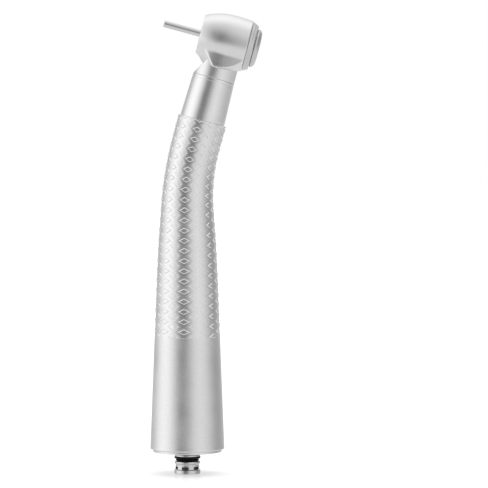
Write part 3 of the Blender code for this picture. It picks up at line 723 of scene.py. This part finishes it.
def stub():
    """The coupling stub. Its windows and ports are shallow pockets here, not open passages, and their
    insides carry painted shade.
    """
    outline = rounded([
        (0.0, 27.95, 0), (2.6, 27.95, 0.1), (2.6, 24.45, 0), (3.1, 24.45, 0.1), (3.1, 5.3, 0.08),
        (2.8, 5.1, 0.06), (2.8, 4.62, 0.05), (2.97, 4.5, 0.05), (2.97, 4.16, 0.05), (2.44, 4.16, 0.03),
        (2.44, 3.58, 0.03), (2.1, 3.58, 0.03), (2.1, 3.0, 0.05), (3.0, 2.96, 0.07), (3.0, 2.5, 0.12),
        (2.77, 2.3, 0.1), (2.77, 1.1, 0.05), (3.06, 1.0, 0.06), (3.06, 0.08, 0.06), (2.98, 0.0, 0.05),
        (0.0, 0.0, 0),
    ])
    piece = turned("coupling_tube", divided(outline, 0.6), None, 144)
    for number in range(WINDOWS):
        turn = Matrix.Rotation(WINDOW_FIRST + number * math.tau / WINDOWS, 4, "Z")
        combine(piece, window_cutter(turn), "DIFFERENCE")
    ports = [(-1.1, 0.0, 0.8), (1.15, 0.0, 0.7), (0.0, 1.45, 0.32), (0.0, -1.45, 0.32)]
    for x, y, radius in ports:
        outline = [(0.0, 2.0), (radius, 2.0), (radius, 0.08), (radius + 0.1, -0.05), (0.0, -0.05)]
        combine(piece, turned("port", outline, Matrix.Translation((x, y, 0.0)), 40), "DIFFERENCE")
    tidy_mesh(piece)
    shade(piece, 30.0)
    dress(piece, "chrome", "housing", "polished_chrome", "coupling_stub")
    # The faces inside the windows and ports get the near-black bore finish as a second slot. This is painted
    # shade in place of the dark of the open passages that these shallow pockets stand for.
    piece.data.materials.append(LOOKS["bore"])
    for face in piece.data.polygons:
        x, y, z = face.center / MM
        if math.hypot(x, y) < 2.7 and (abs(z - WINDOW_Z) < WINDOW_SIZE[1] + 0.02 or 0.05 < z < 2.1):
            face.material_index = 1


def seal(name, ring_r, cord_r, height, stands_for):
    angles = around(24)
    outline = [(ring_r + cord_r * math.cos(t), height + cord_r * math.sin(t)) for t in angles]
    piece = turned(name, outline, None, 120, True)
    shade(piece)
    dress(piece, "rubber", "housing", "black_rubber", stands_for)


# Inner pieces ------------------------------------------------------------------------------------

INNER_LOOKS = {
    "brass": ["joint_body"],
    "rubber": ["front_damping_oring", "rear_damping_oring"],
    "polymer": ["front_bearing_cage", "rear_bearing_cage"],
    "dull_steel": [
        "drive_air_tube", "water_tube", "chip_air_tube", "front_bearing_shield", "rear_bearing_shield",
    ],
}


def inner_pieces():
    """The CAD nodes that stay: each gets its finish."""
    finishes = {name: look for look, names in INNER_LOOKS.items() for name in names}
    for name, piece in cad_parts.items():
        if piece.hide_render:
            continue
        piece.data.materials.clear()
        piece.data.materials.append(LOOKS[finishes.get(name, "ground_steel")])


# Studio ------------------------------------------------------------------------------------------

AZIMUTH_LIGHT = [  # degrees from the camera's side towards +X, and brightness
    (-180, 0.75), (-150, 0.55), (-128, 0.62), (-103, 1.08), (-84, 1.27), (-62, 1.2), (-42, 0.78),
    (-25, 0.22), (-8, 0.2), (8, 0.52), (25, 0.86), (46, 0.95), (70, 0.75), (94, 0.44), (112, 0.35),
    (132, 0.42), (152, 0.6), (180, 0.75),
]
CEILING_FRONT = 0.76
CEILING_BACK = 1.2
UNDERNEATH = 0.86
FLOOR_R = 3.0  # this and the camera's places are in metres
FLOOR_DROP_M = 0.00002
FLOOR_GLOW = 0.5
FLOOR_GLOSS = 0.2
FLOOR_GLOSS_ROUGHNESS = 0.16
CAMERA_PLACE = (0.01325, -0.70, 0.0817)
CAMERA_TARGET = (0.01325, 0.0, 0.0538)
CAMERA_ANGLE = math.radians(9.3)


def studio_light():
    """Soft light from all round: bright and dark panels by direction, a bright ceiling and a pale floor.
    The backdrop itself is plain white."""
    world = bpy.data.worlds.new("studio")
    bpy.context.scene.world = world
    world.use_nodes = True
    tree = world.node_tree
    tree.nodes.clear()
    place = node(tree, "ShaderNodeTexCoord")
    split = node(tree, "ShaderNodeSeparateXYZ")
    tree.links.new(place.outputs["Generated"], split.inputs["Vector"])
    turn = maths(tree, "ARCTAN2", split.outputs["X"], maths(tree, "MULTIPLY", split.outputs["Y"], -1.0))
    ramp = node(tree, "ShaderNodeValToRGB")
    ramp.color_ramp.interpolation = "EASE"
    stops = ramp.color_ramp.elements
    for _ in range(len(AZIMUTH_LIGHT) - 2):
        stops.new(0.5)
    for stop, (degrees, _) in zip(stops, AZIMUTH_LIGHT):
        stop.position = (degrees + 180.0) / 360.0
    for stop, (_, level) in zip(stops, AZIMUTH_LIGHT):
        stop.color = (level, level, level, 1.0)
    tree.links.new(spread(tree, turn, 0.0, 1.0, -math.pi, math.pi), ramp.inputs["Fac"])

    rise = node(tree, "ShaderNodeMapRange", interpolation_type="SMOOTHSTEP")
    for socket, number in (("From Min", 0.25), ("From Max", 1.0)):
        rise.inputs[socket].default_value = number
    tree.links.new(split.outputs["Z"], rise.inputs["Value"])
    fall = node(tree, "ShaderNodeMapRange", interpolation_type="SMOOTHSTEP")
    for socket, number in (("From Min", -0.03), ("From Max", -0.4)):
        fall.inputs[socket].default_value = number
    tree.links.new(split.outputs["Z"], fall.inputs["Value"])

    ceiling = spread(tree, split.outputs["Y"], CEILING_FRONT, CEILING_BACK, -0.45, 0.15)
    level = between(tree, ramp.outputs["Color"], ceiling, rise.outputs["Result"])
    level = between(tree, level, UNDERNEATH, fall.outputs["Result"])
    surround = node(tree, "ShaderNodeBackground")
    tree.links.new(level, surround.inputs["Strength"])
    backdrop = node(tree, "ShaderNodeBackground")
    backdrop.inputs["Strength"].default_value = 1.0
    for light in (surround, backdrop):
        light.inputs["Color"].default_value = (1.0, 1.0, 1.0, 1.0)
    path = node(tree, "ShaderNodeLightPath")
    choose = node(tree, "ShaderNodeMixShader")
    out = node(tree, "ShaderNodeOutputWorld")
    tree.links.new(path.outputs["Is Camera Ray"], choose.inputs[0])
    tree.links.new(surround.outputs["Background"], choose.inputs[1])
    tree.links.new(backdrop.outputs["Background"], choose.inputs[2])
    tree.links.new(choose.outputs["Shader"], out.inputs["Surface"])


def floor():
    mesh = bpy.data.meshes.new("floor")
    cage = bmesh.new()
    bmesh.ops.create_circle(cage, cap_ends=True, segments=96, radius=FLOOR_R)
    cage.to_mesh(mesh)
    cage.free()
    made = bpy.data.objects.new("floor", mesh)
    bpy.context.scene.collection.objects.link(made)
    made.location.z = -FLOOR_DROP_M
    made.visible_glossy = False
    look = bpy.data.materials.new("pale_floor")
    look.use_nodes = True
    tree = look.node_tree
    tree.nodes.clear()
    matte = node(tree, "ShaderNodeBsdfDiffuse")
    matte.inputs["Color"].default_value = (0.9, 0.9, 0.9, 1.0)
    glow = node(tree, "ShaderNodeEmission")
    glow.inputs["Strength"].default_value = FLOOR_GLOW
    sheen = node(tree, "ShaderNodeBsdfGlossy")
    sheen.inputs["Roughness"].default_value = FLOOR_GLOSS_ROUGHNESS
    lit = node(tree, "ShaderNodeAddShader")
    mix = node(tree, "ShaderNodeMixShader")
    mix.inputs[0].default_value = FLOOR_GLOSS
    out = node(tree, "ShaderNodeOutputMaterial")
    tree.links.new(matte.outputs["BSDF"], lit.inputs[0])
    tree.links.new(glow.outputs["Emission"], lit.inputs[1])
    tree.links.new(lit.outputs["Shader"], mix.inputs[1])
    tree.links.new(sheen.outputs["BSDF"], mix.inputs[2])
    tree.links.new(mix.outputs["Shader"], out.inputs["Surface"])
    mesh.materials.append(look)


def camera():
    """The viewer's place: 0.7 m in front, a little above the middle, looking slightly down."""
    lens = bpy.data.cameras.new("camera")
    made = bpy.data.objects.new("camera", lens)
    bpy.context.scene.collection.objects.link(made)
    made.location = CAMERA_PLACE
    made.rotation_mode = "QUATERNION"
    made.rotation_quaternion = (Vector(CAMERA_TARGET) - made.location).to_track_quat("-Z", "Y")
    lens.sensor_width = 36.0
    lens.angle = CAMERA_ANGLE
    lens.clip_start = 0.01
    lens.clip_end = 20.0
    bpy.context.scene.camera = made


def plain_colours():
    settings = bpy.context.scene.view_settings
    settings.view_transform = "Standard"
    settings.look = "None"
    settings.exposure = 0.0
    settings.gamma = 1.0


grip_sleeve()
rear_ring()
neck()
head_shell()
light_rod()
cap_ring()
button()
bur_shank()
stub()
seal("upper_seal", 2.79, 0.28, 3.87, "stub_oring_upper")
seal("lower_seal", 2.44, 0.26, 3.29, "stub_oring_lower")
inner_pieces()
studio_light()
floor()
camera()
plain_colours()
